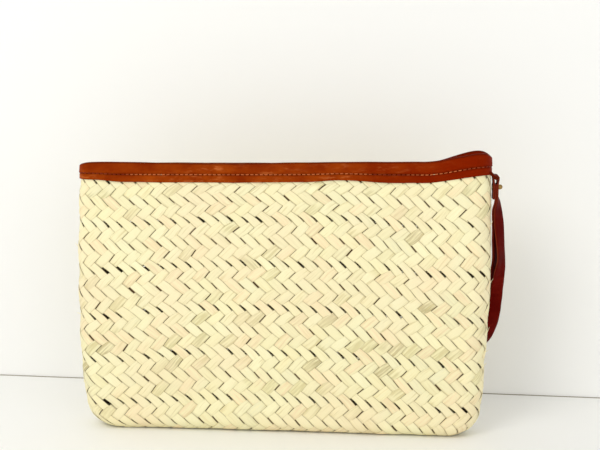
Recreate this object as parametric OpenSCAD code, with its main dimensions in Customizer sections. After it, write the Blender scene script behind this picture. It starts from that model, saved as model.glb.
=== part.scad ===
// Clutch bag plaited from palm leaf, with a leather-bound mouth, a zip and a wrist strap.
// X runs to the right, Y to the back and Z up. The origin is the middle of the base, on the ground.
// Lengths are millimetres and angles are degrees.

/* [Bag] */
// Width at the widest part
bag_w = 301; // [280:1:320]
// Height from the ground to the top of the binding
bag_h = 200; // [190:1:215]
// Depth from front to back at the fullest part
bag_d = 29; // [26:1:32]
// Radius of the two bottom corners
corner_r = 20; // [12:1:26]
// Half width of the strip of palm that meets the middle seam of the base
base_half = 5.5; // [5:0.5:6.5]
// How far each side draws in from its widest part to the base
side_taper = 6; // [0:1:9]
// Number of plaited rows between the base seam and the binding
rows = 6; // [6]
// Thickness of the plait
wall = 1.5; // [1.4:0.1:1.6]
// How far the middle of a row swells out past its seams
row_swell = 0.35; // [0:0.05:0.5]

/* [Mouth] */
// Half depth of the mouth where it lies nearly shut
mouth_half = 7.6; // [7.6:0.2:8.4]
// Half depth of the mouth where it gapes next to the strap
gape_half = 12; // [10:0.5:12.5]
// How far the strap end of the mouth curls up above the rest
corner_lift = 6.5; // [0:0.5:7]
// How much higher the strap end of the bag stands than the middle
lean = 2.4; // [0:0.2:3]
// Height of the leather binding on the outside
binding_h = 15; // [13:1:16]
// Thickness of the binding leather
leather_t = 1.1; // [1:0.1:1.2]
// Distance from one stitch to the next
stitch_pitch = 3.4; // [3:0.1:4]

/* [Zip] */
// Distance from one tooth to the next on one tape
tooth_pitch = 2; // [2]
// Length of the pull tab
tab_l = 18; // [14:1:19]

/* [Strap] */
// Width of the wrist strap
strap_w = 10; // [8:0.5:10]
// Thickness of the strap leather
strap_t = 1.3; // [1.1:0.1:1.3]
// How far the loop hangs below the lace it swings on
strap_drop = 128; // [118:1:150]

/* [Hidden] */

$fn = 48;
eps = 0.05;                  // running clearance between pieces that don't touch
straight = 16;               // steps along the front, and along the back
cap = 8;                     // steps round each end
around = 2 * (straight + cap);

palm = [0.94, 0.88, 0.69];
tan_leather = [0.53, 0.19, 0.06];
red_leather = [0.40, 0.10, 0.06];
thread_tan = [0.78, 0.45, 0.16];
tape_brown = [0.34, 0.18, 0.10];
brass = [0.72, 0.58, 0.32];

// Bag shell
fold_r = bag_d / 2 - base_half;             // radius of the fold from the base into the walls
full_z = 50;                                // the walls are at their fullest up to here
mouth_z = bag_h - binding_h;                // and flat against the binding from here
mouth_in = 2.2;                             // how far each end draws in towards the mouth
seam_gap = 1.2;                             // gap between two rows, which the sewing cord fills
cord_r = seam_gap / 2 - eps;
row_w = (bag_h - binding_h - 1 + base_half + fold_r * (PI / 2 - 1)) / rows;
base_cut = 1;                               // depth trimmed off to leave the base flat

// Binding, as offsets inwards from the bag's outer face
flap_out = -(eps + leather_t);
flap_in = wall + eps + leather_t;
fold_z = bag_h - (flap_in - flap_out) / 2;  // the folded top is round above this height
inner_flap_z = bag_h - 13;                  // lower edge of the inner flap
stitch_z = mouth_z + 0.3 * binding_h;       // height of the line of stitches

// Zip
zip_z = bag_h - 14;
tape_t = 0.5;
tape_in = 1.6;                              // each tape's inner edge, measured from the middle
tape_up = 5;                                // height of the edge sewn to the inner flap
tooth_w = 0.95;
tooth_h = 2.4;
tooth_gap = 0.3;                            // from the middle to the tip of a tooth
tooth_reach = 2.2;
slider_x = bag_w / 2 - 22.5;                // middle of the slider when the zip is shut
bottom_stop_x = 15 - bag_w / 2;             // and of the stop at the far end of the teeth
slider_l = 9;
slider_half = 3.8;
plate_t = 0.8;
plate_z = tooth_h / 2 + 0.2;                // inner face of each plate, from the middle of the teeth
flange_y = 3;
arch_l = 6.8;
arch_t = 0.8;
arch_h = 1.6;                               // clear height under the arch
pull_r = 0.55;                              // radius of the bar that the tab turns on
pull_z = zip_z + plate_z + plate_t + pull_r + 0.15;
tab_w = 4.4;
tab_window_w = 2.4;
tab_window_l = 5.5;
stop_l = 1.6;

// Strap
lace_r = 1.1;
lace_half = 7;                              // the lace's bar spans this far each side of the middle
bar_x = bag_w / 2 - mouth_in + 4.1;
bar_z = bag_h - 10;
lace_root = [bar_x - 5.4, lace_half - 0.5, bar_z + 4.7];  // where the lace ends, in the binding
eye_r = lace_r + 0.08;
layer = strap_t + 0.06;                     // distance between two layers of the folded neck
neck_l = 13;                                // length of the folded neck under the bar
close_l = 3.4;                              // it closes up over this length under the eye
eye_slit = 0.5;                             // half width of the slit out of the eye, at its top
tail_l = 2;                                 // the tail end reaches this far below the neck
rivet_z = bar_z - 6.5;
rivet_r = 1.25;
rivet_head_r = 2.5;
rivet_head_t = 0.5;
stud_r = 1.8;
stud_l = 1.2;                               // straight part of the stud, under its round end
socket_l = 0.6;                             // depth of the socket in the stud
path_steps = 3;                             // steps from one point of the loop's path to the next

// Path of the hanging loop. Its outer run goes down from the outer layer of the neck, turns to face
// the front, swings back behind the end of the bag, and returns as the inner run. Each point is
// [x and y from the bar, share of the drop, angle the strap has turned]. The first and last points
// only steer the curve.
loop_path = [
    [layer, 0, -0.03, 0], [layer, 0, 0, 0],
    [2.3, 0, 0.05, 18], [2.4, -0.1, 0.1, 34], [3.5, 0, 0.19, 44], [4.9, 0.7, 0.3, 38],
    [6, 2.3, 0.4, 34], [5.6, 5.4, 0.49, 50], [4.7, 8.4, 0.58, 64], [3.8, 11.6, 0.7, 68],
    [2.4, 14.6, 0.83, 64], [-1.3, 17.6, 0.94, 55],
    [-5.8, 20.5, 1, 45],
    [-5.1, 23, 0.94, 55], [-1.4, 22.3, 0.83, 64],
    [1.1, 18.3, 0.7, 68], [2.6, 12.7, 0.58, 64], [2.9, 8.6, 0.49, 50], [2.6, 4.6, 0.4, 34],
    [2.2, 2.8, 0.3, 38], [2, 1.4, 0.19, 44], [1, 0.8, 0.1, 34], [0.9, 0.4, 0.05, 18],
    [0, 0, 0, 0], [0, 0, -0.03, 0]
];

// 0 to 1 with a smooth start and end
function ease(t) =
    let (u = min(1, max(0, t)))
    u * u * (3 - 2 * u);

// Height of the middle of the seam above row k
function seam_z(k) = row_w * k - base_half - fold_r * (PI / 2 - 1);

function half_width(z) =
    let (h = max(0, z))
    bag_w / 2
    - side_taper * (1 - sin(90 * min(1, h / (0.55 * bag_h))))
    - mouth_in * ease((h / bag_h - 0.6) / 0.4)
    - (h < corner_r ? corner_r - sqrt(pow(corner_r, 2) - pow(corner_r - h, 2)) : 0);

function half_depth(x, z) =
    let (
        h = max(0, z),
        mouth = mouth_half + (gape_half - mouth_half) * ease((x / bag_w - 0.3) / 0.13)
    )
    h < fold_r
    ? base_half + sqrt(pow(fold_r, 2) - pow(fold_r - h, 2))
    : bag_d / 2 + (mouth - bag_d / 2) * ease((h - full_z) / (mouth_z - full_z));

// How far a point of the bag is raised by the curled corner and by the lean
function lift(x, z) =
    let (h = max(0, z) / bag_h)
    corner_lift * ease((x - bag_w / 3) / 45) * pow(h, 2) + lean * h * x / (bag_w / 2);

// Points once round the bag at height z, moved inwards from its outer face by inset
function ring(z, inset) =
    let (
        w = half_width(z) - inset,
        left_r = half_depth(-w, z) - inset,
        right_r = half_depth(w, z) - inset,
        left = left_r - w,
        right = w - right_r,
        front = [for (i = [0:straight])
            let (x = left + (right - left) * i / straight) [x, inset - half_depth(x, z)]],
        right_end = [for (i = [1:cap - 1])
            let (a = 180 * i / cap - 90) [right + right_r * cos(a), right_r * sin(a)]],
        back = [for (i = [0:straight])
            let (x = right + (left - right) * i / straight) [x, half_depth(x, z) - inset]],
        left_end = [for (i = [1:cap - 1])
            let (a = 180 * i / cap + 90) [left + left_r * cos(a), left_r * sin(a)]]
    )
    [for (p = concat(front, right_end, back, left_end)) [p.x, p.y, z + lift(p.x, z)]];

// Solid whose section, a loop of [height, inset] points, runs once round the bag
module band(section) {
    m = len(section);
    polyhedron(
        points = [for (p = section) each ring(p[0], p[1])],
        faces = [for (j = [0:m - 1], i = [0:around - 1], upper = [false, true])
            let (
                near = j * around,
                far = ((j + 1) % m) * around,
                next = (i + 1) % around
            )
            upper ? [near + i, far + i, far + next] : [near + i, far + next, near + next]]
    );
}

// Tube of square section through a list of points, each square given by two half-width vectors
module ribbon(middles, widths, thicknesses) {
    last = len(middles) - 1;
    corners = [[-1, -1], [1, -1], [1, 1], [-1, 1]];
    polyhedron(
        points = [for (i = [0:last], c = corners)
            middles[i] + c[0] * widths[i] + c[1] * thicknesses[i]],
        faces = concat(
            [[0, 1, 2], [0, 2, 3]],
            [for (i = [0:last - 1], k = [0:3], upper = [false, true])
                let (a = 4 * i + k, b = 4 * i + (k + 1) % 4)
                upper ? [a, b + 4, b] : [a, a + 4, b + 4]],
            [[4 * last, 4 * last + 2, 4 * last + 1], [4 * last, 4 * last + 3, 4 * last + 2]]
        )
    );
}

module rod(from, to, r) {
    d = to - from;
    translate(from)
        rotate([0, acos(d.z / norm(d)), atan2(d.y, d.x)])
            cylinder(r = r, h = norm(d));
}

// One plaited row between two seams, or up to height top
module braid(k, top = undef) {
    low = seam_z(k - 1) + seam_gap / 2;
    high = is_undef(top) ? seam_z(k) - seam_gap / 2 : top;
    swell = is_undef(top) ? row_swell : 0;
    steps = is_undef(top) ? 4 : 1;
    outside = [for (i = [0:steps])
        [low + (high - low) * i / steps, -swell * sin(180 * i / steps)]];
    inside = [for (i = [steps:-1:0]) [low + (high - low) * i / steps, wall]];
    color(palm) band(concat(outside, inside));
}

// The bottom row, which folds under to the seam in the middle of the base
module base_braid() {
    high = seam_z(1) - seam_gap / 2;
    slot = cord_r + eps;
    inner_r = fold_r - wall;
    outside = concat(
        [[-base_cut, base_half - slot], [-base_cut, 0]],
        [for (a = [15:15:90]) [fold_r * (1 - cos(a)), 0]],
        [[(fold_r + high) / 2, -row_swell], [high, 0]]
    );
    inside = concat(
        [[high, wall], [(fold_r + high) / 2, wall]],
        [for (a = [90:-15:0])
            let (z = fold_r - inner_r * cos(a))
            [z, half_depth(0, z) - base_half - inner_r * sin(a)]],
        [[wall, half_depth(0, wall) - slot]]
    );
    color(palm)
        difference() {
            band(concat(outside, inside));
            translate([-bag_w, -bag_d, -2 * base_cut])
                cube([2 * bag_w, 2 * bag_d, 2 * base_cut]);
        }
}

module seam_cord(k) {
    color(palm)
        band([for (a = [0:60:300])
            [seam_z(k) + cord_r * sin(a), cord_r + eps - cord_r * cos(a)]]);
}

module base_seam_cord() {
    span = half_width(0) - base_half - 1;
    color(palm)
        rod([-span, 0, wall / 2 + eps], [span, 0, wall / 2 + eps], cord_r - eps);
}

// Leather folded over the rim, open at the bottom
module mouth_binding() {
    middle = (flap_in + flap_out) / 2;
    outer_r = (flap_in - flap_out) / 2;
    inner_r = outer_r - leather_t;
    color(tan_leather)
        band(concat(
            [[mouth_z, flap_out]],
            [for (a = [180:-45:0]) [fold_z + outer_r * sin(a), middle + outer_r * cos(a)]],
            [[inner_flap_z, flap_in], [inner_flap_z, flap_in - leather_t]],
            [for (a = [0:45:180]) [fold_z + inner_r * sin(a), middle + inner_r * cos(a)]],
            [[mouth_z, flap_out + leather_t]]
        ));
}

// Stitches along the outside of the binding, part sunk in the leather
module binding_thread() {
    stitch = [0.68 * stitch_pitch, 0.5, 0.7];
    path = ring(stitch_z, flap_out);
    color(thread_tan)
        for (i = [0:around - 1]) {
            from = path[i];
            run = path[(i + 1) % around] - from;
            count = round(norm(run) / stitch_pitch);
            for (n = [0:1:count - 1])
                translate(from + run * (n + 0.5) / count)
                    rotate([0, -asin(run.z / norm(run)), atan2(run.y, run.x)])
                        cube(stitch, center = true);
        }
}

// Zip tape that lies flat under the rim and turns up against the inner flap; side is -1 or 1
module zip_tape(side) {
    line = ring(inner_flap_z, flap_in + 2 * eps);
    first = side < 0 ? 0 : straight + cap;
    edge = [for (i = [0:straight])
        let (p = line[first + (side < 0 ? i : straight - i)]) [p.x, abs(p.y)]];
    section = [for (p = edge)
        let (top = zip_z + tape_up + lift(p.x, zip_z + tape_up))
        [for (q = [
            [tape_in, zip_z - tape_t / 2], [p.y, zip_z - tape_t / 2], [p.y, top],
            [p.y - tape_t, top], [p.y - tape_t, zip_z + tape_t / 2], [tape_in, zip_z + tape_t / 2]
        ]) [p.x, side * q[0], q[1]]]];
    m = 6;
    skin = concat(
        [for (i = [0:straight - 1], k = [0:m - 1], upper = [false, true])
            let (a = m * i + k, b = m * i + (k + 1) % m)
            upper ? [a, b + m, b] : [a, a + m, b + m]],
        [for (quad = [[0, 1, 4, 5], [1, 2, 3, 4]], half = [0, 1], at = [0, straight])
            let (q = [for (v = quad) m * at + v])
            at == 0 ? [q[0], q[1 + half], q[2 + half]] : [q[0], q[2 + half], q[1 + half]]]
    );
    color(tape_brown)
        polyhedron(
            points = [for (s = section) each s],
            faces = side > 0 ? skin : [for (f = skin) [f[2], f[1], f[0]]]
        );
}

module zip_teeth(side) {
    first = bottom_stop_x + tooth_pitch + (side > 0 ? tooth_pitch / 2 : 0);
    last = slider_x + slider_l / 2 - tooth_pitch;
    color(brass)
        for (x = [first:tooth_pitch:last])
            translate([x - tooth_w / 2, side > 0 ? tooth_gap : -tooth_reach, zip_z - tooth_h / 2])
                cube([tooth_w, tooth_reach - tooth_gap, tooth_h]);
}

module zip_top_stops() {
    color(brass)
        for (side = [-1, 1])
            translate([
                slider_x + slider_l / 2 + 0.5,
                side > 0 ? tooth_gap : -tooth_reach - 0.3,
                zip_z - tooth_h / 2
            ])
                cube([stop_l, tooth_reach - tooth_gap + 0.3, tooth_h]);
}

module zip_bottom_stop() {
    color(brass)
        translate([bottom_stop_x, 0, zip_z])
            cube([stop_l, 2 * tooth_reach + 0.6, tooth_h + 0.2], center = true);
}

// Two plates with turned-in edges, a thin web between them that runs between the teeth, and an arch
module zip_slider() {
    flange = [slider_l, slider_half - flange_y, plate_z + plate_t - 0.55];
    web = [2.3, 2 * (tooth_gap - 0.1), 2 * plate_z + plate_t];
    color(brass)
        translate([slider_x, 0, zip_z]) {
            for (up = [0, 1])
                mirror([0, 0, up]) {
                    translate([-slider_l / 2, -slider_half, plate_z])
                        cube([slider_l, 2 * slider_half, plate_t]);
                    for (side = [0, 1])
                        mirror([0, side, 0])
                            translate([-slider_l / 2, flange_y, 0.55])
                                cube(flange);
                }
            translate([slider_l / 2 - web.x / 2 - 0.3, 0, 0])
                cube(web, center = true);
            translate([0, 0, plate_z + plate_t])
                difference() {
                    translate([-arch_l / 2, -arch_t, -0.2])
                        cube([arch_l, 2 * arch_t, arch_h + arch_t + 0.2]);
                    translate([-arch_l / 2 + arch_t, -2 * arch_t, 0])
                        cube([arch_l - 2 * arch_t, 4 * arch_t, arch_h]);
                }
        }
}

// The tab lies along -X and turns on its own bar, which passes under the slider's arch
module zip_pull_tab() {
    color(brass)
        translate([slider_x, 0, pull_z]) {
            rotate([90, 0, 0])
                cylinder(r = pull_r, h = tab_w, center = true);
            difference() {
                translate([-tab_l + tab_w / 2, -tab_w / 2, -pull_r])
                    cube([tab_l - tab_w / 2, tab_w, 2 * pull_r]);
                translate([-tab_window_l - pull_r, -tab_window_w / 2, -1])
                    cube([tab_window_l + 2 * pull_r, tab_window_w, 2]);
            }
            translate([-tab_l + tab_w / 2, 0, -pull_r])
                difference() {
                    cylinder(r = tab_w / 2, h = 2 * pull_r);
                    translate([0, 0, -1])
                        cylinder(r = 0.9, h = 3);
                }
        }
}

// Leather lace that comes out from under the binding and carries the strap on its bar
module strap_anchor() {
    color(tan_leather)
        for (side = [-1, 1]) {
            elbow = [bar_x, side * lace_half, bar_z];
            rod([bar_x, 0, bar_z], elbow, lace_r);
            translate(elbow)
                sphere(r = lace_r);
            rod(elbow, [lace_root.x, side * lace_root.y, lace_root.z], lace_r);
        }
}

// Folded neck of the strap, seen from the end of the bag: the eye and the three layers below it
module neck_outline() {
    half = strap_t / 2;
    difference() {
        union() {
            circle(r = eye_r + strap_t);
            for (side = [-1, 1])
                polygon([
                    [side * eye_r * 0.9, 0], [side * (eye_r + strap_t), 0],
                    [side * (layer + half), -close_l],
                    [side * (layer + half), side < 0 ? -neck_l - tail_l : -neck_l],
                    [side * (layer - half), side < 0 ? -neck_l - tail_l : -neck_l],
                    [side * (layer - half), -close_l]
                ]);
        }
        circle(r = eye_r);
        polygon([[-eye_slit, 0], [eye_slit, 0], [layer - half, -close_l], [half - layer, -close_l]]);
    }
    translate([-half, -neck_l])
        square([strap_t, neck_l - close_l - 0.4]);
}

// Point at share u of the way from p[i] to p[i + 1], on a smooth curve through all of p
function on_curve(p, i, u) = 0.5 * (
    2 * p[i]
    + (p[i + 1] - p[i - 1]) * u
    + (2 * p[i - 1] - 5 * p[i] + 4 * p[i + 1] - p[i + 2]) * pow(u, 2)
    + (3 * p[i] - p[i - 1] - 3 * p[i + 1] + p[i + 2]) * pow(u, 3)
);

// The hanging loop. It is a hair narrower and thinner than the neck, so its ends sit inside it.
module strap_loop() {
    ends = len(loop_path) - 2;
    path = concat(
        [for (i = [1:ends - 1], k = [0:path_steps - 1]) on_curve(loop_path, i, k / path_steps)],
        [loop_path[ends]]
    );
    last = len(path) - 1;
    top = bar_z - neck_l + 1;
    drop = strap_drop - neck_l + 1;
    middles = [for (p = path) [bar_x + p[0], p[1], top - drop * p[2]]];
    widths = [for (p = path) (strap_w / 2 - 0.1) * [sin(p[3]), cos(p[3]), 0]];
    faces_out = [for (i = [0:last])
        let (
            along = middles[min(last, i + 1)] - middles[max(0, i - 1)],
            across = cross(along, widths[i])
        )
        (strap_t / 2 - 0.05) * across / norm(across)];
    ribbon(middles, widths, faces_out);
}

module wrist_strap() {
    color(red_leather)
        difference() {
            union() {
                translate([bar_x, 0, bar_z])
                    rotate([90, 0, 0])
                        linear_extrude(height = strap_w, center = true)
                            neck_outline();
                strap_loop();
            }
            rod([bar_x - 5, 0, rivet_z], [bar_x + 5, 0, rivet_z], rivet_r + eps);
        }
}

// Round-ended stud on the outside of the neck, with a socket for the post
module rivet_cap() {
    color(brass)
        translate([bar_x + layer + strap_t / 2 + eps, 0, rivet_z])
            rotate([0, 90, 0])
                difference() {
                    union() {
                        cylinder(r = stud_r, h = stud_l);
                        translate([0, 0, stud_l])
                            sphere(r = stud_r);
                    }
                    translate([0, 0, -stud_r])
                        cube(2 * stud_r, center = true);
                    translate([0, 0, -1])
                        cylinder(r = rivet_r + eps, h = 1 + socket_l);
                }
}

module rivet_post() {
    inside = bar_x - layer - strap_t / 2 - eps;
    outside = bar_x + layer + strap_t / 2 + socket_l;
    color(brass) {
        rod([inside - 0.1, 0, rivet_z], [outside, 0, rivet_z], rivet_r);
        rod([inside - rivet_head_t, 0, rivet_z], [inside, 0, rivet_z], rivet_head_r);
    }
}

base_braid();  // braid_1
braid(2);  // braid_2
braid(3);  // braid_3
braid(4);  // braid_4
braid(5);  // braid_5
braid(6);  // braid_6
braid(rows + 1, fold_z);  // rim_braid
seam_cord(1);  // seam_cord_1
seam_cord(2);  // seam_cord_2
seam_cord(3);  // seam_cord_3
seam_cord(4);  // seam_cord_4
seam_cord(5);  // seam_cord_5
seam_cord(6);  // seam_cord_6
base_seam_cord();
mouth_binding();
binding_thread();
zip_tape(-1);  // zip_tape_front
zip_tape(1);  // zip_tape_back
zip_teeth(-1);  // zip_teeth_front
zip_teeth(1);  // zip_teeth_back
zip_top_stops();
zip_bottom_stop();
zip_slider();
zip_pull_tab();
strap_anchor();
wrist_strap();
rivet_cap();
rivet_post();
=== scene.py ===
"""Looks for a clutch bag plaited from palm leaf: plait, leather binding, zip and wrist strap.

Everything is in metres, in the CAD model's frame: X right, Y back, Z up, origin in the middle of
the base. The bag's wall is one surface with two coordinates: s runs round the bag from the middle
of the front, and v climbs it from the seam in the base.
"""
import math
import bpy
import numpy as np
from mathutils import Matrix, Vector


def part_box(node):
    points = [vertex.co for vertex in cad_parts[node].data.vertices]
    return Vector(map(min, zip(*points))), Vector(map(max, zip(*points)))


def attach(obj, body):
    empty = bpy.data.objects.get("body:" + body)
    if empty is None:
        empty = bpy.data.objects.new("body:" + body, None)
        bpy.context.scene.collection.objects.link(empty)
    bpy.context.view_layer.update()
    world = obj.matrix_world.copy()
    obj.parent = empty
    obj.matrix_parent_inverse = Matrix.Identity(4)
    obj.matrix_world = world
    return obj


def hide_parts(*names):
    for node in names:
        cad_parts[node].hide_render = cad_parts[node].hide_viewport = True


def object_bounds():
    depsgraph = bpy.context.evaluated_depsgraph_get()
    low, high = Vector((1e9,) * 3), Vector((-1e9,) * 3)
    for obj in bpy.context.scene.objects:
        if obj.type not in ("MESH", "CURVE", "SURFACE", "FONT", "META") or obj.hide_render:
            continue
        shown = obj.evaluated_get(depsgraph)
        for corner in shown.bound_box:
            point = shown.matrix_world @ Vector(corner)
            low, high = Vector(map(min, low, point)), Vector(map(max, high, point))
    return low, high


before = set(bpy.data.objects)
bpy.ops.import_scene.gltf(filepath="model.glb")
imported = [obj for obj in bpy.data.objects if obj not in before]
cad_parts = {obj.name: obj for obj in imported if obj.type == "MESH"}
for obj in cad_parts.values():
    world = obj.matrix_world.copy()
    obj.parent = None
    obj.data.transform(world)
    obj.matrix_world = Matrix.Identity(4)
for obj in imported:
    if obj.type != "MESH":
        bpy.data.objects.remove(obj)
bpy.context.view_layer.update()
PI = math.pi
rng = np.random.default_rng(20)

# --- Driving dimensions, from the frame where it holds them ------------------------------------
MM = 0.001
ROWS = 6
ROW_SWELL = 0.35 * MM
CORNER_LIFT = 6.5 * MM            # how far the strap end of the mouth curls up
LEAN = 2.4 * MM                   # how much higher the strap end stands than the middle
CORNER_R = 20 * MM
BASE_HALF = 5.5 * MM              # half width of the flat of the base
SIDE_TAPER = 6 * MM
MOUTH_IN = 2.2 * MM
MOUTH_HALF = 7.6 * MM             # half depth of the mouth, nearly shut
GAPE_HALF = 12 * MM               # and where it gapes beside the strap
FULL_Z = 50 * MM
BAG_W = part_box("braid_4")[1].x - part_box("braid_4")[0].x - 2 * ROW_SWELL
BAG_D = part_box("braid_2")[1].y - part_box("braid_2")[0].y - 2 * ROW_SWELL
BAG_H = (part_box("zip_bottom_stop")[0].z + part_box("zip_bottom_stop")[1].z) / 2 + 14 * MM
MOUTH_Z = BAG_H - 15 * MM         # lower edge of the binding
FOLD_R = BAG_D / 2 - BASE_HALF
FLAT_LOSS = BASE_HALF + FOLD_R * (PI / 2 - 1)      # v is this much more than z on the walls
QUARTER = BAG_W / 2 - BAG_D / 2 + BAG_D / 2 * PI / 2
ROUND = 4 * QUARTER

# --- The plait ---------------------------------------------------------------------------------
ROW_W = (MOUTH_Z - 1 * MM + FLAT_LOSS) / ROWS
STEPS = 8                         # quarter pattern steps in a row
RISE = ROW_W / STEPS              # height of one step
STRIPS = 62                       # strips leaning each way, round the bag
PITCH = ROUND / STRIPS
PLY = 0.42 * MM                   # thickness of one palm strip
CLIMB = 0.36 * MM                 # how far a strip rises over and sinks under the others
SKIN = -0.35 * MM                 # middle of the plait, from the bag's outer face
SEAM_OPEN = 0.7                   # steps by which the right-leaning strips stop short of a seam


def ease(t):
    t = np.clip(t, 0, 1)
    return t * t * (3 - 2 * t)


def near(value, place, reach, power=2):
    """1 at place, falling smoothly towards 0 beyond reach on both sides of it."""
    return np.exp(-(np.abs((value - place) / reach) ** power))


def half_width(z):
    corner = CORNER_R - np.sqrt(np.maximum(0, CORNER_R**2 - np.maximum(0, CORNER_R - z) ** 2))
    rise = np.minimum(1, z / (0.55 * BAG_H))
    draw_in = MOUTH_IN * ease((z / BAG_H - 0.6) / 0.4)
    return BAG_W / 2 - SIDE_TAPER * (1 - np.sin(rise * PI / 2)) - draw_in - corner


def half_depth(x, z):
    mouth = MOUTH_HALF + (GAPE_HALF - MOUTH_HALF) * ease((x / BAG_W - 0.3) / 0.13)
    wall = BAG_D / 2 + (mouth - BAG_D / 2) * ease((z - FULL_Z) / (MOUTH_Z - FULL_Z))
    fold = BASE_HALF + np.sqrt(np.maximum(0, FOLD_R**2 - np.maximum(0, FOLD_R - z) ** 2))
    return np.where(z < FOLD_R, fold, wall)


def lift(x, z):
    """The strap end of the mouth curls up, and all of the bag leans."""
    h = z / BAG_H
    return CORNER_LIFT * ease((x - BAG_W / 3) / (45 * MM)) * h**2 + LEAN * h * x / (BAG_W / 2)


def shell(s, v):
    """Points of the bag's outer face. The pattern is squeezed only near the ends, where it must be."""
    s = (s + ROUND / 2) % ROUND - ROUND / 2
    side = np.where(s < 0, -1.0, 1.0)
    front = np.abs(s) < QUARTER
    u = np.where(front, np.abs(s), ROUND / 2 - np.abs(s))
    turn = np.clip((v - BASE_HALF) / FOLD_R, 0, PI / 2)
    z = np.where(turn < PI / 2, FOLD_R * (1 - np.cos(turn)), v - FLAT_LOSS)
    inset = np.maximum(0, BASE_HALF - v)
    w = half_width(z) - inset
    r = half_depth(side * w, z) - inset
    straight = w - r
    short = np.maximum(QUARTER - straight - r * PI / 2, 1e-9)
    power = np.clip(0.7 * QUARTER / short, 2, 5)
    u = u - short * (u / QUARTER) ** power
    bend = np.clip((u - straight) / r, 0, PI / 2)
    x = side * np.where(u < straight, u, straight + r * np.sin(bend))
    y = np.where(u < straight, half_depth(x, z) - inset, r * np.cos(bend)) * np.where(front, -1, 1)
    return np.stack([x, y, z + lift(x, z)], -1)


def skin(s, v, out):
    """Points at distance out from the bag's outer face."""
    e = 0.2 * MM
    s, v, out = np.broadcast_arrays(s, np.maximum(v, e), out)
    normal = np.cross(shell(s + e, v) - shell(s - e, v), shell(s, v + e) - shell(s, v - e))
    normal /= np.linalg.norm(normal, axis=-1, keepdims=True) + 1e-15
    return shell(s, v) + normal * out[..., None]


# --- Mesh helpers ------------------------------------------------------------------------------
def tubes(name, points, material, closed=False, **attributes):
    """A mesh of tubes. points is [tube, station, corner, xyz]; each tube's ends are capped, or
    joined to each other when closed. Attributes are arrays over the same tubes, stations and corners."""
    n, m, k, _ = points.shape
    index = np.arange(n * m * k).reshape(n, m, k)
    here = index if closed else index[:, :-1]
    there = np.roll(index, -1, axis=1) if closed else index[:, 1:]
    quads = np.stack([here, np.roll(here, -1, 2), np.roll(there, -1, 2), there], -1).reshape(-1, 4)
    caps = np.zeros((0, k), int) if closed else np.concatenate([index[:, 0, ::-1], index[:, -1]])
    mesh = bpy.data.meshes.new(name)
    mesh.vertices.add(n * m * k)
    mesh.vertices.foreach_set("co", points.astype(np.float32).ravel())
    mesh.loops.add(quads.size + caps.size)
    mesh.loops.foreach_set("vertex_index", np.concatenate([quads.ravel(), caps.ravel()]))
    mesh.polygons.add(len(quads) + len(caps))
    starts = np.concatenate([np.arange(len(quads)) * 4, quads.size + np.arange(len(caps)) * k])
    mesh.polygons.foreach_set("loop_start", starts)
    mesh.update(calc_edges=True)
    smooth = np.ones(len(mesh.polygons), bool)
    smooth[len(quads):] = False
    mesh.polygons.foreach_set("use_smooth", smooth)
    for key, values in attributes.items():
        wide = np.broadcast_to(values, (n, m, k) + values.shape[3:]).astype(np.float32)
        kind = "FLOAT" if values.ndim == 3 else "FLOAT_VECTOR"
        field = "value" if values.ndim == 3 else "vector"
        mesh.attributes.new(key, kind, "POINT").data.foreach_set(field, wide.ravel())
    mesh.validate()
    mesh.materials.append(material)
    thing = bpy.data.objects.new(name, mesh)
    bpy.context.scene.collection.objects.link(thing)
    return thing


def curve_through(points, steps):
    """Points on a smooth curve through the inner points; the first and last only steer it."""
    p = np.asarray(points, float)
    u = (np.arange(steps) / steps)[None, :, None]
    a, b, c, d = (p[i:len(p) - 3 + i, None, :] for i in range(4))
    path = 0.5 * (2 * b + (c - a) * u + (2 * a - 5 * b + 4 * c - d) * u**2
                  + (3 * b - a - 3 * c + d) * u**3)
    return np.concatenate([path.reshape(-1, p.shape[1]), p[-2:-1]])


def unit(vectors):
    return vectors / (np.linalg.norm(vectors, axis=-1, keepdims=True) + 1e-15)


def round_tube(path, radius, corners=10, across=(0, 1, 0)):
    """Sections round a path, as points for tubes()."""
    along = unit(np.gradient(path, axis=0))
    side = unit(np.cross(along, np.broadcast_to(across, path.shape)))
    other = np.cross(along, side)
    angle = np.arange(corners) * 2 * PI / corners
    r = np.broadcast_to(radius, len(path))[:, None, None]
    ring = np.cos(angle)[None, :, None] * side[:, None] + np.sin(angle)[None, :, None] * other[:, None]
    return path[:, None] + r * ring


# --- Materials ---------------------------------------------------------------------------------
def linear(r, g, b):
    """A colour given as 0 to 255 on a screen, as linear light."""
    c = np.array([r, g, b]) / 255
    return np.where(c < 0.04045, c / 12.92, ((c + 0.055) / 1.055) ** 2.4)


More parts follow.
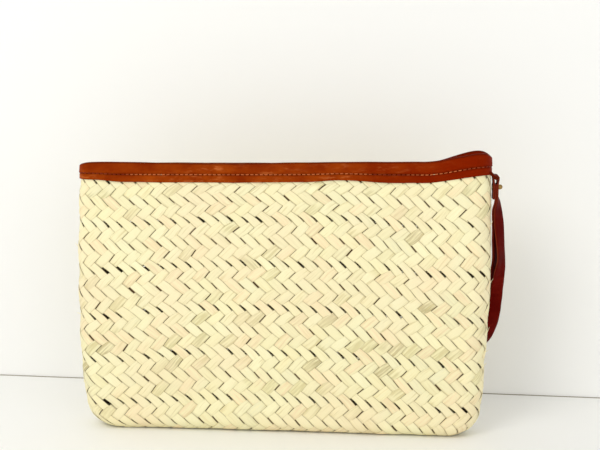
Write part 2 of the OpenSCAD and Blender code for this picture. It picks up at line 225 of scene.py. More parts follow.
class Finish:
    """A material that is built node by node round one Principled shader."""

    def __init__(self, name, roughness=0.5, **shader):
        self.material = bpy.data.materials.new(name)
        self.material.use_nodes = True
        self.tree = self.material.node_tree
        self.shader = self.tree.nodes["Principled BSDF"]
        self.shader.inputs["Roughness"].default_value = roughness
        for key, value in shader.items():
            self.shader.inputs[key.replace("_", " ")].default_value = value

    def put(self, socket, value):
        if isinstance(value, bpy.types.NodeSocket):
            self.tree.links.new(value, socket)
        elif hasattr(socket.default_value, "__len__"):
            value = [value] * 3 if isinstance(value, (int, float)) else list(value)
            socket.default_value = value + [1] * (len(socket.default_value) - len(value))
        else:
            socket.default_value = value

    def node(self, kind, inputs, output=0, **settings):
        made = self.tree.nodes.new("ShaderNode" + kind)
        for key, value in settings.items():
            setattr(made, key, value)
        for key, value in inputs.items():
            self.put(made.inputs[key], value)
        return made.outputs[output]

    def attribute(self, name, output="Vector"):
        return self.node("Attribute", {}, output, attribute_name=name)

    def place(self):
        return self.node("TexCoord", {}, "Object")

    def stretch(self, vector, scale):
        return self.node("VectorMath", {0: vector, 1: scale}, operation="MULTIPLY")

    def noise(self, vector, scale, detail=3, rough=0.5):
        return self.node("TexNoise", {"Vector": vector, "Scale": scale, "Detail": detail,
                                      "Roughness": rough}, "Fac")

    def cells(self, vector, scale):
        return self.node("TexVoronoi", {"Vector": vector, "Scale": scale}, "Distance")

    def remap(self, value, low, high, to_low=0, to_high=1):
        return self.node("MapRange", {"Value": value, "From Min": low, "From Max": high,
                                      "To Min": to_low, "To Max": to_high})

    def sum(self, a, b, operation="ADD"):
        return self.node("Math", {0: a, 1: b}, operation=operation)

    def mix(self, share, a, b, blend="MIX"):
        made = self.tree.nodes.new("ShaderNodeMix")
        made.data_type = "RGBA"
        made.blend_type = blend
        for socket, value in ((0, share), (6, a), (7, b)):
            self.put(made.inputs[socket], value)
        return made.outputs[2]

    def finish(self, colour, height=None, relief=0.0, roughness=None):
        self.put(self.shader.inputs["Base Color"], colour)
        if roughness is not None:
            self.put(self.shader.inputs["Roughness"], roughness)
        if height is not None:
            bump = self.node("Bump", {"Height": height, "Distance": relief, "Strength": 1})
            self.put(self.shader.inputs["Normal"], bump)
        return self.material


def palm_leaf():
    """Cream palm strips with fibres along them, streaked with each float's own tone, with painted shade at
    their edges and where they run under the others.
    """
    m = Finish("palm_leaf", roughness=0.55, Specular_IOR_Level=0.35)
    grain = m.attribute("grain")
    fibre = m.noise(m.stretch(grain, (160, 4200, 1)), 1, 4, 0.6)
    streak = m.noise(m.stretch(grain, (45, 420, 1)), 1, 2)
    fleck = m.remap(m.noise(m.stretch(grain, (500, 2600, 1)), 1, 2), 0.7, 0.8)
    blotch = m.noise(m.place(), 24, 2)
    across, deep, falling = (m.node("SeparateXYZ", {0: m.attribute("section")}, i) for i in "XYZ")
    colour = m.mix(m.remap(streak, 0.38, 0.58, 0.15, 1), linear(249, 241, 194), m.attribute("tone", "Color"))
    colour = m.mix(m.remap(blotch, 0.45, 0.7, 0, 0.6), colour, linear(252, 233, 192))
    tanned = m.sum(m.remap(streak, 0.56, 0.7), m.remap(falling, 0, 1, 0.7, 0.3), "MULTIPLY")
    colour = m.mix(tanned, colour, linear(226, 211, 156))
    colour = m.mix(1, colour, m.remap(fibre, 0.2, 0.8, 0.93, 1.03), "MULTIPLY")
    colour = m.mix(m.sum(fleck, 0.3, "MULTIPLY"), colour, linear(186, 150, 96))
    # painted shade: strip edges go brown, more on the left-leaning strips, so the gaps between floats read
    # dark
    edge = m.sum(m.remap(across, 0.8, 1.0), m.remap(falling, 0, 1, 0.25, 0.6), "MULTIPLY")
    colour = m.mix(edge, colour, linear(134, 114, 60))
    # painted shade: dark brown where the strip runs deep under the others
    colour = m.mix(deep, colour, linear(84, 58, 26))
    return m.finish(colour, fibre, 0.08 * MM, m.remap(fibre, 0.2, 0.8, 0.62, 0.46))


def shade_dark_twine():
    """Twine that sews the rows together, coloured near black as painted shade; only glimpsed through the
    slits, which it makes read black.
    """
    m = Finish("shade_dark_twine", roughness=0.85)
    place = m.place()
    fray = m.noise(place, 1800, 3)
    # near-black colours: painted shade behind the slits
    colour = m.mix(fray, linear(30, 20, 10), linear(74, 52, 28))
    return m.finish(colour, fray, 0.1 * MM)


def leather(name, deep, lit, worn_and_highlight, edge_colour, roughness):
    """Waxed leather. Its wear attribute holds how far the surface is a cut edge, how far it is
    darkened (painted shade in the binding's stitch groove, stitch holes and top fold) and how far it turns a
    deeper red."""
    m = Finish(name, roughness=roughness, Specular_IOR_Level=0.04, Specular_Tint=(1, 0.3, 0.08, 1))
    place = m.place()
    mottle = m.noise(m.stretch(place, (1, 1, 1.6)), 70, 4, 0.6)
    cloud = m.noise(m.stretch(place, (1, 1, 2.5)), 22, 2)
    rub_and_highlight = m.noise(m.stretch(place, (1, 1, 3.5)), 120, 3, 0.6)
    pores = m.cells(place, 1500)
    crease = m.noise(m.stretch(place, (1, 1, 3)), 420, 5, 0.7)
    wear, darkening, red = (m.node("SeparateXYZ", {0: m.attribute("wear")}, i) for i in "XYZ")
    # mottle between the deep and lit colours: the leather's own mottling, partly painted highlight
    colour = m.mix(m.remap(mottle, 0.3, 0.7), deep, lit)
    colour = m.mix(m.remap(cloud, 0.42, 0.66, 0, 0.7), colour, deep)
    # lighter streaks: partly rubbing of the leather, partly painted highlight
    rubbed_and_highlit = m.sum(m.remap(rub_and_highlight, 0.52, 0.72), m.remap(cloud, 0.36, 0.56, 1, 0), "MULTIPLY")
    colour = m.mix(rubbed_and_highlit, colour, worn_and_highlight)
    colour = m.mix(red, colour, linear(124, 22, 0))
    colour = m.mix(m.remap(pores, 0.0, 0.25, 0.2, 0), colour, linear(30, 6, 2))
    ragged = m.sum(wear, m.remap(crease, 0.3, 0.7, 0.5, 1.2), "MULTIPLY")
    colour = m.mix(ragged, colour, edge_colour)
    # darkening: painted shade in the binding's stitch groove, stitch holes and top fold
    colour = m.mix(darkening, colour, linear(46, 6, 0))
    height = m.sum(m.sum(crease, 0.6, "MULTIPLY"), m.remap(pores, 0, 0.3), "ADD")
    shine = m.remap(crease, 0.3, 0.7, roughness + 0.1, roughness - 0.08)
    return m.finish(colour, height, 0.05 * MM, shine)


def waxed_thread():
    """Orange waxed thread; its grain attribute also says how far it is darkened to the leather's red."""
    m = Finish("waxed_thread", roughness=0.6, Specular_IOR_Level=0.2)
    grain = m.attribute("grain")
    twist = m.node("TexWave", {"Vector": grain, "Scale": 700, "Distortion": 1}, "Fac",
                   bands_direction="DIAGONAL")
    colour = m.mix(twist, linear(176, 84, 36), linear(226, 132, 78))
    colour = m.mix(m.node("SeparateXYZ", {0: grain}, "Z"), colour, linear(124, 30, 4))
    return m.finish(colour, twist, 0.05 * MM)


def zip_tape():
    """Brown twill tape."""
    m = Finish("zip_tape_twill", roughness=0.9, Sheen_Weight=0.3)
    place = m.place()
    twill = m.node("TexWave", {"Vector": place, "Scale": 420, "Distortion": 0.6}, "Fac",
                   bands_direction="DIAGONAL")
    yarn = m.noise(place, 2600, 2)
    colour = m.mix(twill, linear(58, 30, 18), linear(104, 60, 36))
    colour = m.mix(m.remap(yarn, 0.4, 0.8, 0, 0.5), colour, linear(134, 84, 52))
    return m.finish(colour, m.sum(twill, yarn), 0.08 * MM)


def brass():
    """Aged brass, brushed by use, with darker patches of tarnish."""
    m = Finish("aged_brass", roughness=0.35, Metallic=1.0)
    place = m.place()
    tarnish = m.noise(place, 260, 4, 0.65)
    brushed = m.noise(m.stretch(place, (200, 3000, 3000)), 1, 2)
    colour = m.mix(m.remap(tarnish, 0.35, 0.7), linear(168, 136, 82), linear(98, 72, 38))
    return m.finish(colour, brushed, 0.01 * MM, m.remap(tarnish, 0.3, 0.7, 0.28, 0.5))


PALM = palm_leaf()
TWINE = shade_dark_twine()
BINDING = leather("binding_leather", linear(126, 36, 3), linear(165, 70, 12), linear(198, 108, 54),
                  linear(104, 32, 5), 0.5)
STRAP = leather("strap_leather", linear(82, 2, 1), linear(100, 12, 6), linear(108, 22, 12),
                linear(112, 44, 26), 0.55)
THREAD = waxed_thread()
TAPE = zip_tape()
BRASS = brass()

# --- Plaited rows ------------------------------------------------------------------------------
# Section of a palm strip as [across, height], across from -1 to 1 and height in plies.
STRIP_SECTION = np.array([[-1, -0.1], [-0.93, 0.34], [-0.55, 0.5], [0, 0.44], [0.5, 0.52], [0.93, 0.34],
                          [1, -0.1], [0.9, -0.5], [0, -0.5], [-0.9, -0.5]])
# Height of each seam above an even spacing; the rows of a hand-made plait differ in width.
SEAM_DRIFT = np.array([0, 1.0, 2.0, 2.2, 2.6, 3.8, 2.6, 0]) * MM
# Slow waves in the pattern: [waves round the bag, radians per row, size]
WAVES = [(3, 0.9, 0.5 * MM), (7, 1.7, 0.4 * MM), (13, 2.6, 0.26 * MM), (22, 4.1, 0.16 * MM)]
WAVE_PHASES = rng.uniform(0, 2 * PI, (3, len(WAVES)))
FLOATS = 2 + (ROWS + 1) * STEPS // 4
STAND_UP = 0.75 * MM              # sideways shift that stands the floats up at about 45 degrees
ON_TOP = 0.14                     # above 0, left-leaning strips are on top for longer than below

CREAM = linear(248, 238, 188)
PALE = linear(251, 245, 203)
PEACH = linear(249, 229, 184)
SAGE = linear(222, 212, 160)
GREY = linear(200, 186, 138)


def waves(which, s, d):
    return sum(size * np.sin(turns * 2 * PI * s / ROUND + climb * d / STEPS + phase)
               for (turns, climb, size), phase in zip(WAVES, WAVE_PHASES[which]))


def to_seam(d):
    """Steps from the nearest seam, negative below it."""
    return (d + STEPS / 2) % STEPS - STEPS / 2


def signed(s):
    """s from -ROUND / 2 to ROUND / 2, so that the front runs from -QUARTER to QUARTER."""
    return (s + ROUND / 2) % ROUND - ROUND / 2


def crown(s, d):
    """How far the rows rise in the middle of the front and sag towards its ends."""
    middle = near(signed(s), -5 * MM, 98 * MM, 4)
    return (8.8 * middle - 3.7) * MM * np.clip(np.sin(PI * d / (ROWS * STEPS)), 0, 1) ** 0.6


def plait_place(s, d, out):
    """The pattern laid on the bag. d counts steps up from the base seam, 8 to a row."""
    drift = np.interp(d / STEPS, np.arange(len(SEAM_DRIFT)), SEAM_DRIFT)
    hold = ease(d / 3)                          # the waves die out at the base seam
    v = d * RISE + drift + crown(s, d) + hold * waves(0, s, d)
    bow = 1.1 * MM * near(to_seam(d), -0.1, 0.9) + STAND_UP * np.sin(PI * d / 2)
    at_end = near(np.abs(signed(s)), QUARTER, 9 * MM)
    by_strap = np.where(signed(s) > 0, ease(d / STEPS - 2), 0)      # no bulge where the strap hangs
    bulge = 0.9 * MM * hold * at_end * (1 - by_strap)
    swell = (ROW_SWELL + bulge) * np.abs(np.sin(PI * d / STEPS))
    return skin(s + bow + hold * waves(1, s, d), v, out + SKIN + swell + hold * 0.5 * waves(2, s, d))


class Family:
    """The strips that lean one way, with what varies from strip to strip and float to float."""

    def __init__(self, lean):
        self.lean = lean                        # -1 leans left going up, 1 leans right
        size = (STRIPS, FLOATS)
        self.shift = rng.normal(0, 0.03, size)
        self.width = rng.normal(0, 0.015, size)
        self.slit = rng.uniform(0, 1, size) ** 2
        self.roll = rng.normal(0, 0.09 * MM, size)
        self.high = rng.normal(0, 0.04 * MM, size)
        self.light = rng.normal(0, 0.025, size) + rng.normal(0, 0.02, (STRIPS, 1))
        self.tint = rng.uniform(0, 1, size)
        self.strip_tint = rng.uniform(0, 1, (STRIPS, 1)) + np.zeros(size)

    def place(self, s):
        """Distance from the middle of the nearer side of the bag."""
        return (s + QUARTER) % (2 * QUARTER) - QUARTER

    def along(self, table, d):
        """A value that is steady over each float and changes where the strip is hidden."""
        t = (d + (2 if self.lean > 0 else 4)) / 4
        m = np.floor(t).astype(int)
        share = ease((t - m - 0.3) / 0.4)
        return table[:, m] * (1 - share) + table[:, m + 1] * share

    def tone(self, s, d):
        """Colour of each float: cream, with peach, sage and grey ones, commoner in patches."""
        tint, strip = self.along(self.tint, d), self.along(self.strip_tint, d)
        turn = 2 * PI * s / ROUND
        patch = 0.5 + 0.5 * np.sin(5 * turn + 0.35 * d + 1) * np.sin(4.5 * turn + 0.21 * d)
        colour = CREAM + (PALE - CREAM) * strip[..., None]
        rising = self.lean > 0
        for target, amount in ((PEACH, ease((tint - 0.86 + 0.12 * patch) / 0.08)),
                               (SAGE, ease(((0.32 if rising else 0.05) * patch + 0.02 - tint) / 0.05)),
                               (GREY, ease((0.10 * patch - 0.01 - tint) / 0.04) * rising)):
            colour = colour + (target - colour) * amount[..., None]
        return colour * (1 + self.along(self.light, d))[..., None]

    def strips(self, low, high):
        """Points and attributes of this family's strips from step low to step high."""
        d = np.linspace(low, high, 1 + 3 * round(high - low))
        number = np.arange(STRIPS)[:, None]
        s = (2 * number + self.lean * (2.5 + d[None])) * PITCH / 2
        over = np.tanh(2.2 * (np.cos(PI * d / 2) + ON_TOP)) * -self.lean
        seam = near(to_seam(d), -0.2, 0.9)
        fill = 0.985 + self.along(self.width, d)
        if self.lean < 0:                       # narrower at the foot of each float, most of all at a seam
            foot = 0.5 - 0.5 * np.sin(PI * d / 2)
            at_end = ease((np.abs(self.place(s)) - 0.5 * QUARTER) / (0.4 * QUARTER))
            fill = fill - 0.02 - 0.04 * foot - seam * (0.02 + 0.14 * self.along(self.slit, d) * (1 + at_end))
        across = STRIP_SECTION[:, 0] * fill[..., None] / 2 + self.along(self.shift, d)[..., None]
        roll = self.along(self.roll, d)[..., None] * STRIP_SECTION[:, 0]
        high_side = (over > 0)[:, None]
        height = (CLIMB * over + self.along(self.high, d) * (over > 0))[..., None] + roll * high_side
        height = height + PLY * STRIP_SECTION[:, 1]
        points = plait_place(s[..., None] + across * PITCH / 2, d[:, None] - self.lean * across, height)
        shape = points.shape[:3]
        length = np.broadcast_to((d * math.hypot(RISE, PITCH / 2))[None, :, None], shape)
        grain = np.stack([length, np.broadcast_to(across * PITCH, shape),
                          np.broadcast_to(number[..., None] + 100.0 * self.lean, shape)], -1)
        # deep: how far the strip is sunk under the others, for painted shade there
        deep = np.broadcast_to(ease((-over - 0.5) / 0.5)[None, :, None], shape)
        # edge: nearness to the strip's edge, for painted shade in the gaps
        edge = np.broadcast_to(np.abs(STRIP_SECTION[:, 0]), shape)
        section = np.stack([edge, deep, np.full(shape, 0.5 - 0.5 * self.lean)], -1)
        tone = np.broadcast_to(self.tone(s, d)[:, :, None], shape + (3,))
        return points, grain, section, tone


LEFT_LEANING, RIGHT_LEANING = Family(-1), Family(1)


def join(name, parts):
    bpy.ops.object.select_all(action="DESELECT")
    for part in parts:
        part.select_set(True)
    bpy.context.view_layer.objects.active = parts[0]
    bpy.ops.object.join()
    parts[0].name = parts[0].data.name = name
    return parts[0]


def plait_row(k):
    """Row k, up to the seam above it. Its left-leaning strips cross that seam and tuck under the next row."""
    base, seam = STEPS * (k - 1), STEPS * k
    spans = [(LEFT_LEANING, base + 2 if k > 1 else 0, seam + 2),
             (RIGHT_LEANING, base + (SEAM_OPEN if k > 1 else 0), seam - SEAM_OPEN)]
    parts = []
    for family, low, high in spans:
        points, grain, section, tone = family.strips(low, high)
        parts.append(tubes(f"plait_{k}_{family.lean}", points, PALM, grain=grain, section=section, tone=tone))
    return join(f"plait_row_{k}", parts)


def seam_twine(k):
    """Two-ply twine that sews row k to the one above, just behind the seam."""
    stations = 500
    s = np.arange(stations) * ROUND / stations
    twist = s * 2 * PI * round(ROUND / (5 * MM)) / ROUND
    plies = []
    for half in (0, PI):
        v_off, out = 0.3 * MM * np.sin(twist + half), 0.3 * MM * np.cos(twist + half) - 1.5 * MM
        angle = np.arange(6) * PI / 3
        v = STEPS * k + (v_off[:, None] + 0.34 * MM * np.sin(angle)) / RISE
        plies.append(plait_place(s[:, None] + 0 * angle, v, out[:, None] - 0.34 * MM * np.cos(angle)))
    return tubes(f"seam_twine_{k}", np.stack(plies), TWINE, closed=True)


for k in range(1, ROWS + 1):
    row = plait_row(k)
    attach(row, "bag")
    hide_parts(f"braid_{k}", *(["rim_braid"] if k == ROWS else []))
    twine = seam_twine(k)
    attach(twine, "bag")
    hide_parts(f"seam_cord_{k}")

def loose_ends():
    """A few thin palm ends that escaped the trimming, mostly at the two ends of the bag."""
    count, stations = 16, 7
    side = np.where(np.arange(count) % 2 == 0, 1, -1)
    s = side * (QUARTER + rng.uniform(-12, 6, count) * MM)
    v = rng.uniform(0.15, 0.9, count) * ROWS * ROW_W
    length = rng.uniform(1.5, 4.5, count) * MM
    run = np.linspace(-0.4, 1, stations)[None] * length[:, None]
    fall = rng.normal(0, 0.8, count)[:, None] * run
    lift_off = 0.1 * MM + 0.75 * np.maximum(run, 0) - 0.3 * MM * (run < 0)
    middle = skin(s[:, None] + side[:, None] * 0.5 * run, v[:, None] + fall, lift_off)
    radius = 0.32 * MM * (1 - 0.85 * np.linspace(0, 1, stations) ** 2)
    points = np.stack([round_tube(path, radius, 5, across=(0, 0, 1)) for path in middle])
    tone = np.broadcast_to(PALE, points.shape)
    section = np.zeros(points.shape)
    piece = tubes("loose_palm_ends", points, PALM, grain=points, section=section, tone=tone)
    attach(piece, "bag")


loose_ends()

# --- Leather binding and its stitches ----------------------------------------------------------
LEATHER = 1.1 * MM
GAP = 0.05 * MM
FLAP_OUT = -(GAP + LEATHER)                    # offsets inwards from the bag's outer face
FLAP_IN = 1.5 * MM + GAP + LEATHER
INNER_FLAP_Z = BAG_H - 13 * MM
STITCH_Z = MOUTH_Z + 0.38 * (BAG_H - MOUTH_Z)
STITCHES = round(ROUND / (3.4 * MM))
STATIONS = 4 * STITCHES


def binding_section():
    """Outline of the folded leather as [height, inset]: up the outside, over, and back inside."""
    outer_r = (FLAP_IN - FLAP_OUT) / 2
    middle = (FLAP_IN + FLAP_OUT) / 2
    top = BAG_H - outer_r
    rows = [0.0, 0.4 * MM] + [STITCH_Z - MOUTH_Z + o * MM for o in (-1.6, -0.6, 0, 0.6, 1.6)]
    outside = [(MOUTH_Z + h, FLAP_OUT) for h in rows] + [(MOUTH_Z + h * MM, FLAP_OUT) for h in (8, 10)]
    over = [(top + outer_r * math.sin(a), middle - outer_r * math.cos(a)) for a in np.linspace(0, PI, 11)]
    down = [(z, FLAP_IN) for z in (top - 3 * MM, top - 7 * MM, INNER_FLAP_Z + 0.4 * MM)]
    lip = [(INNER_FLAP_Z, FLAP_IN - 0.3 * MM), (INNER_FLAP_Z, FLAP_IN - LEATHER + 0.1 * MM)]
    inner_r = outer_r - LEATHER
    under = [(top + inner_r * math.sin(a), middle + inner_r * math.cos(a)) for a in np.linspace(0, PI, 7)]
    foot = [(MOUTH_Z, FLAP_OUT + LEATHER - 0.1 * MM), (MOUTH_Z, FLAP_OUT + 0.3 * MM)]
    return np.array(outside + over + down + lip + under + foot)


def hand_cut(s):
    """Slow unevenness of an edge cut by hand, about -0.5 to 0.5."""
    turn = 2 * PI * s / ROUND
    return 0.22 * np.sin(5 * turn + 1) + 0.16 * np.sin(11 * turn + 2) + 0.1 * np.sin(23 * turn)


def hem(s):
    """How far the binding's lower edge, and the stitches with it, ride up."""
    s = signed(s)
    return MM * (2.2 * near(s, -QUARTER, 30 * MM, 4) + 1.7 * near(s, 43 * MM, 20 * MM))


def back_sag(s):
    """How far the soft rim sags along the back, away from the strap, so that the front one hides it."""
    from_strap = s % ROUND - QUARTER                # along the back, from the strap end
    from_far_end = 2 * QUARTER - from_strap
    return 2.2 * MM * ease((from_strap - 20 * MM) / (35 * MM)) * ease((from_far_end + 6 * MM) / (30 * MM))


def binding():
    section = binding_section()
    s = np.arange(STATIONS)[:, None] * ROUND / STATIONS
    z, inset = section[:, 0][None], section[:, 1][None]
    outside = near(inset, FLAP_OUT, 0.35 * MM)
    groove = near(z, STITCH_Z, 0.9 * MM) * outside
    hole = (np.arange(STATIONS)[:, None] % 4 == 0) * near(z, STITCH_Z, 0.35 * MM) * outside
    uneven = hand_cut(s)
    up = (z - MOUTH_Z) / (BAG_H - MOUTH_Z)                        # 0 at the lower edge, 1 at the fold
    belly = 0.25 * MM * np.sin(PI * np.clip((z - STITCH_Z) / (BAG_H - 4 * MM - STITCH_Z), 0, 1)) * outside
    pucker = 0.1 * MM * np.cos(2 * PI * STITCHES / 3 * s / ROUND) * groove
    out = -inset + belly - 0.28 * MM * groove - 0.3 * MM * hole + pucker + 0.12 * MM * uneven * outside
    at_end = near(np.abs(signed(s)), QUARTER, 9 * MM)
    dip = at_end * np.where(signed(s) > 0, 3.4, 2.2) + 1.2 * near(signed(s), -40 * MM, 70 * MM)
    height = z + hem(s) * np.clip(1 - up / 0.6, 0, 1) - (MM * dip + back_sag(s)) * np.clip(up, 0, 1) ** 2
    height = height + MM * uneven * (0.6 * ease(1 - 3 * up) + 0.4 * ease(4 * up - 3))
    points = skin(s + 0 * z, height + FLAT_LOSS, out)
    # painted shadow along the top of the fold, where the front and back rims meet
    fold = ease((z - BAG_H + 1.6 * MM) / (1.2 * MM)) * 0.55
    rim = ease((MOUTH_Z + 0.5 * MM - z) / (0.5 * MM)) * 0.6
    # darker, deeper red towards the strap end
    red = 0.9 * ease((points[..., 0] + 40 * MM) / (190 * MM)) ** 1.5
    # per point: cut edge at the lower edge; darkening, painted shade in the stitch groove, stitch holes and
    # top fold; deeper red
    wear = np.stack(np.broadcast_arrays(rim + 0 * s, 0.35 * groove + 0.9 * hole + fold, red), -1)
    piece = tubes("leather_binding", points[None, :, ::-1], BINDING, closed=True, wear=wear[None, :, ::-1])
    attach(piece, "bag")
    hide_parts("mouth_binding")


def stitches():
    """Short stitches that dip into the leather at both ends, sunk and dark along some stretches."""
    share = np.linspace(-0.5, 0.5, 7)
    s = (np.arange(STITCHES)[:, None] + 0.5 + 0.74 * share) * ROUND / STITCHES
    middle = signed(s[:, 3:4])
    sunk = 0.5 * ease(3 * hand_cut(3 * middle))
    for place, reach in ((-136 * MM, 24 * MM), (76 * MM, 15 * MM), (QUARTER, 22 * MM)):
        sunk = sunk + near(middle, place, reach, 6)
    sunk = np.clip(sunk + rng.normal(0, 0.12, (STITCHES, 1)), 0, 1)
    out = -FLAP_OUT - 0.1 * MM + 0.34 * MM * np.cos(PI * share * 1.25) - 0.12 * MM * sunk
    angle = np.arange(8) * PI / 4
    radius = (0.34 * np.sqrt(1 - (1.7 * share) ** 2 * 0.9) * MM)[:, None]
    tilt = rng.normal(0.12, 0.12, (STITCHES, 1)) * MM * share
    z = STITCH_Z + 0.5 * hem(s) + 0.1 * MM * hand_cut(s) + tilt
    points = skin(s[..., None] + 0 * angle, z[..., None] + FLAT_LOSS + radius * np.sin(angle),
                  out[..., None] + radius * np.cos(angle))
    shape = points.shape[:3]
    grain = np.stack([np.broadcast_to(share[:, None] * 2.5 * MM, shape),
                      np.broadcast_to(angle * 0.3 * MM, shape),
                      np.broadcast_to(sunk[..., None], shape)], -1)
    piece = tubes("binding_stitches", points[:, :, ::-1], THREAD, grain=grain[:, :, ::-1])
    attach(piece, "bag")
    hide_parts("binding_thread")


binding()
stitches()

# --- Zip ---------------------------------------------------------------------------------------
def paint(node, material, bevel=0.0):
    """Gives a CAD node its finish and, for hard pieces, softened edges."""
    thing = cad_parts[node]
    thing.data.materials.clear()
    thing.data.materials.append(material)
    if bevel:
        made = thing.modifiers.new("soft_edges", "BEVEL")
        made.width, made.segments, made.limit_method = bevel, 2, "ANGLE"
        made.harden_normals = True


def zip_teeth(side, node):
    """Teeth with a waist and a rounded nose."""
    low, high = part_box(node)
    pitch, wide = 2 * MM, 0.9 * MM
    middle, tall = (low.z + high.z) / 2, (high.z - low.z) / 2
    count = round((high.x - low.x - wide) / pitch) + 1
    x = low.x + 0.475 * MM + np.arange(count) * pitch
    reach = max(abs(low.y), abs(high.y))
    tip = 0.3 * MM                              # the noses stop here, clear of the slider's web
    stations = np.array([[reach, 0.75, 0.9], [reach - 0.3 * MM, 1, 1], [1.2 * MM, 0.8, 1],
                         [0.85 * MM, 0.62, 1], [0.6 * MM, 0.9, 0.9], [0.45 * MM, 0.95, 0.75],
                         [tip, 0.6, 0.5]])
    angle = (np.arange(12) + 0.5) * PI / 6
    circle = np.stack([np.cos(angle), np.sin(angle)])
    squarish = np.abs(circle) ** 0.6 * np.sign(circle)
    px = x[:, None, None] + stations[None, :, 1, None] * wide / 2 * squarish[0]
    pz = middle + stations[:, 2, None] * tall * squarish[1] + 0 * px
    py = side * stations[:, 0, None] + 0 * px
    points = np.stack([px, py, pz], -1)
    name = "teeth_back" if side > 0 else "teeth_front"
    piece = tubes(name, points if side > 0 else points[:, :, ::-1], BRASS)
    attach(piece, "bag")
    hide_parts(node)


zip_teeth(-1, "zip_teeth_front")
zip_teeth(1, "zip_teeth_back")
for node in ("zip_tape_front", "zip_tape_back"):
    paint(node, TAPE)
for node in ("zip_top_stops", "zip_bottom_stop", "zip_slider", "zip_pull_tab"):
    paint(node, BRASS, 0.2 * MM)
for node in ("rivet_cap", "rivet_post"):
    paint(node, BRASS, 0.15 * MM)
paint("base_seam_cord", TWINE)

# --- Wrist strap -------------------------------------------------------------------------------
BAR_X = BAG_W / 2 - MOUTH_IN + 4.1 * MM         # the lace's bar, which the strap hangs from
BAR_Z = BAG_H - 10 * MM
LACE_R = 1.1 * MM
STRAP_W = 10 * MM
STRAP_T = 1.3 * MM
STRAP_DROP = 128 * MM
NECK = 13 * MM                                  # length of the folded neck under the bar
LAYER = STRAP_T + 0.06 * MM
EYE = LACE_R + 0.08 * MM + STRAP_T / 2          # from the bar to the middle of the leather over it
# The hanging loop: [x and y from the bar in mm, share of the drop, degrees turned]
LOOP = [(2.3, 0, 0.05, 18), (2.4, -0.1, 0.1, 34), (3.5, 0, 0.19, 44), (4.9, 0.7, 0.3, 38),
        (6, 2.3, 0.4, 34), (5.6, 5.4, 0.49, 50), (4.7, 8.4, 0.58, 64), (3.8, 11.6, 0.7, 68),
        (2.4, 14.6, 0.83, 64), (-1.3, 17.6, 0.94, 55), (-5.8, 20.5, 1, 45), (-5.1, 23, 0.94, 55),
        (-1.4, 22.3, 0.83, 64), (1.1, 18.3, 0.7, 68), (2.6, 12.7, 0.58, 64), (2.9, 8.6, 0.49, 50),
        (2.6, 4.6, 0.4, 34), (2.2, 2.8, 0.3, 38), (2, 1.4, 0.19, 44), (1, 0.8, 0.1, 34), (0.9, 0.4, 0.05, 18)]


def strap_path():
    """Middle line of the strap and how far it has turned: tail, over the bar, loop, into the neck."""
    top, drop = BAR_Z - NECK + 1 * MM, STRAP_DROP - NECK + 1 * MM
    tail = [(-LAYER, 0, z, 0) for z in (-NECK - 5 * MM, -NECK - 2 * MM, -9 * MM, -4 * MM)]
    over = [(-EYE * math.cos(a), 0, EYE * math.sin(a), 0) for a in np.linspace(0, PI, 7)]
    down = [(LAYER, 0, z, 0) for z in (-4 * MM, -9 * MM, -NECK + 1 * MM)]
    loop = [(x * MM, y * MM, top - BAR_Z - drop * share, turn) for x, y, share, turn in LOOP]
    back = [(0, 0, z, 0) for z in (-NECK + 1 * MM, -9 * MM, -4.2 * MM, 0)]
    return curve_through(tail + over + down + loop + back, 8)


def wrist_strap():
    path = strap_path()
    middle = path[:, :3] + np.array([BAR_X, 0, BAR_Z])
    turn = np.radians(path[:, 3])
    across = np.stack([np.sin(turn), np.cos(turn), 0 * turn], -1)
    along = unit(np.gradient(middle, axis=0))
    across = unit(across - along * np.sum(across * along, -1, keepdims=True))
    face = np.cross(along, across)
    edge = 0.35 * MM                            # rounding of the cut edges
    half_w, half_t = STRAP_W / 2, STRAP_T / 2
    quarter = [(math.cos(a), math.sin(a)) for a in np.linspace(0, PI / 2, 3)]
    right = [(half_w - edge + edge * c, half_t - edge + edge * sn) for c, sn in quarter]
    flat = [(half_w * t, half_t) for t in (0.55, 0.0, -0.55)]
    left = [(-x, y) for x, y in right[::-1]]
    outline = np.array(right + flat + left)
    outline = np.concatenate([outline, -outline])
    length = np.concatenate([[0], np.cumsum(np.linalg.norm(np.diff(middle, axis=0), axis=1))])
    breadth = 1 + 0.02 * np.sin(length * 2 * PI / (37 * MM)) + 0.012 * np.sin(length * 2 * PI / (11 * MM) + 1)
    w = (outline[:, 0] * breadth[:, None])[..., None]
    points = middle[:, None] + w * across[:, None] + outline[:, 1][None, :, None] * face[:, None]
    cut = ease((np.abs(outline[:, 0]) - half_w + 0.5 * edge) / (0.5 * edge))
    cut = np.broadcast_to(cut, points.shape[:2])
    wear = np.stack([cut, 0 * cut, 0 * cut], -1)
    piece = tubes("leather_strap", points[None], STRAP, wear=wear[None])
    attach(piece, "strap")
    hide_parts("wrist_strap")


def lace():
    """Leather lace that comes out from under the binding on both sides and carries the strap."""
    # From inside the binding out to the bar: [x and z from the bar, y from the middle], in mm
    bends = [(-8, 7, 6), (-5.4, 4.7, 6.5), (-2, 1.9, 7), (-0.3, 0.3, 6.7), (0, 0, 5.4), (0, 0, 2)]
    front = [(BAR_X + x * MM, -y * MM, BAR_Z + z * MM) for x, z, y in bends]
    back = [(x, -y, z) for x, y, z in front[::-1]]
    path = curve_through(front + back, 6)
    points = round_tube(path, LACE_R * 0.97, 12, across=(0, 0, 1))
    # the lace is darkened all over and turned a deeper red
    piece = tubes("strap_lace", points[None], BINDING, wear=np.array([0, 0.6, 0.8])[None, None, None])
    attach(piece, "bag")
    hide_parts("strap_anchor")


wrist_strap()
lace()

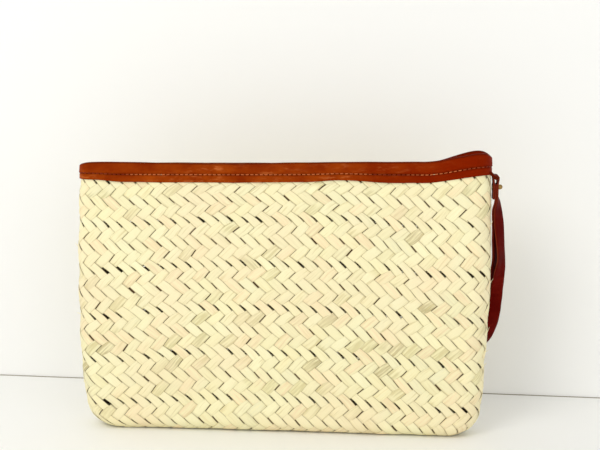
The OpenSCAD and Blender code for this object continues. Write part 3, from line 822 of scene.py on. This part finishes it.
# --- Room, light and camera --------------------------------------------------------------------
WALL_Y = 0.111
WALL_TURN = -2.2                                # degrees
CAMERA_AZIMUTH = 3.7
CAMERA_ELEVATION = 8.85
CAMERA_ROLL = 0.53
CAMERA_DISTANCE = 0.9
CAMERA_LENS = 74.2
CAMERA_AIM = Vector((0.0123, 0, 0.1531))


def plane(name, corners, material):
    mesh = bpy.data.meshes.new(name)
    mesh.from_pydata(corners, [], [(0, 1, 2, 3)])
    mesh.materials.append(material)
    thing = bpy.data.objects.new(name, mesh)
    bpy.context.scene.collection.objects.link(thing)
    return thing


def pale_surface(name, colour, see_through_behind=False):
    m = Finish(name, roughness=0.6, Specular_IOR_Level=0.2)
    m.finish(m.mix(m.noise(m.place(), 6, 2), colour, colour * 0.985))
    if see_through_behind:
        behind = m.node("NewGeometry", {}, "Backfacing")
        camera = m.node("LightPath", {}, "Is Camera Ray")
        clear = m.tree.nodes.new("ShaderNodeBsdfTransparent")
        mixed = m.node("MixShader", {0: m.sum(behind, camera, "MULTIPLY"), 1: m.shader.outputs[0],
                                     2: clear.outputs[0]})
        output = m.tree.nodes["Material Output"]
        m.tree.links.new(mixed, output.inputs["Surface"])
    return m.material


def area_light(name, place, aim, size, power, colour=(1, 1, 1)):
    light = bpy.data.lights.new(name, "AREA")
    light.shape, light.size, light.energy, light.color = "DISK", size, power, colour
    thing = bpy.data.objects.new(name, light)
    thing.location = place
    thing.rotation_euler = (Vector(aim) - Vector(place)).to_track_quat("-Z", "Y").to_euler()
    bpy.context.scene.collection.objects.link(thing)


def room():
    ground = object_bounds()[0].z
    floor = pale_surface("pale_floor", linear(250, 250, 247), see_through_behind=True)
    plane("floor", [(-3, -3, ground), (3, -3, ground), (3, 3, ground), (-3, 3, ground)], floor)
    slope = math.tan(math.radians(WALL_TURN))
    wall = pale_surface("pale_wall", linear(252, 252, 250), see_through_behind=True)
    left, right = WALL_Y - 2 * slope, WALL_Y + 2 * slope
    plane("wall", [(-2, left, ground), (2, right, ground), (2, right, 2.5), (-2, left, 2.5)], wall)
    # a dark strip at the foot of the wall: painted shade in the join of wall and floor
    foot_shade = pale_surface("wall_foot_painted_shade", linear(150, 142, 124))
    foot = 0.6 * MM
    plane("wall_foot", [(-2, left - foot, ground), (2, right - foot, ground),
                        (2, right - foot, ground + foot), (-2, left - foot, ground + foot)], foot_shade)
    world = bpy.data.worlds.new("soft_daylight")
    world.use_nodes = True
    world.node_tree.nodes["Background"].inputs["Color"].default_value = (1, 1, 1, 1)
    world.node_tree.nodes["Background"].inputs["Strength"].default_value = 0.72
    bpy.context.scene.world = world
    area_light("key", (-0.7, -1.2, 1.2), (0, 0, 0.1), 0.9, 9, (1, 0.985, 0.95))
    area_light("fill", (0.9, -1.4, 0.5), (0, 0, 0.1), 1.2, 2)
    bpy.context.scene.view_settings.view_transform = "Standard"


def camera():
    azimuth, elevation, roll = map(math.radians, (CAMERA_AZIMUTH, CAMERA_ELEVATION, CAMERA_ROLL))
    back = Vector((math.sin(azimuth) * math.cos(elevation), -math.cos(azimuth) * math.cos(elevation),
                   math.sin(elevation)))
    level = Vector((math.cos(azimuth), math.sin(azimuth), 0))
    right = level * math.cos(roll) + back.cross(level) * math.sin(roll)
    data = bpy.data.cameras.new("camera")
    data.lens, data.sensor_width = CAMERA_LENS, 36
    thing = bpy.data.objects.new("camera", data)
    matrix = Matrix((right, back.cross(right), back)).transposed().to_4x4()
    matrix.translation = CAMERA_AIM + back * CAMERA_DISTANCE
    thing.matrix_world = matrix
    bpy.context.scene.collection.objects.link(thing)
    bpy.context.scene.camera = thing


room()
camera()
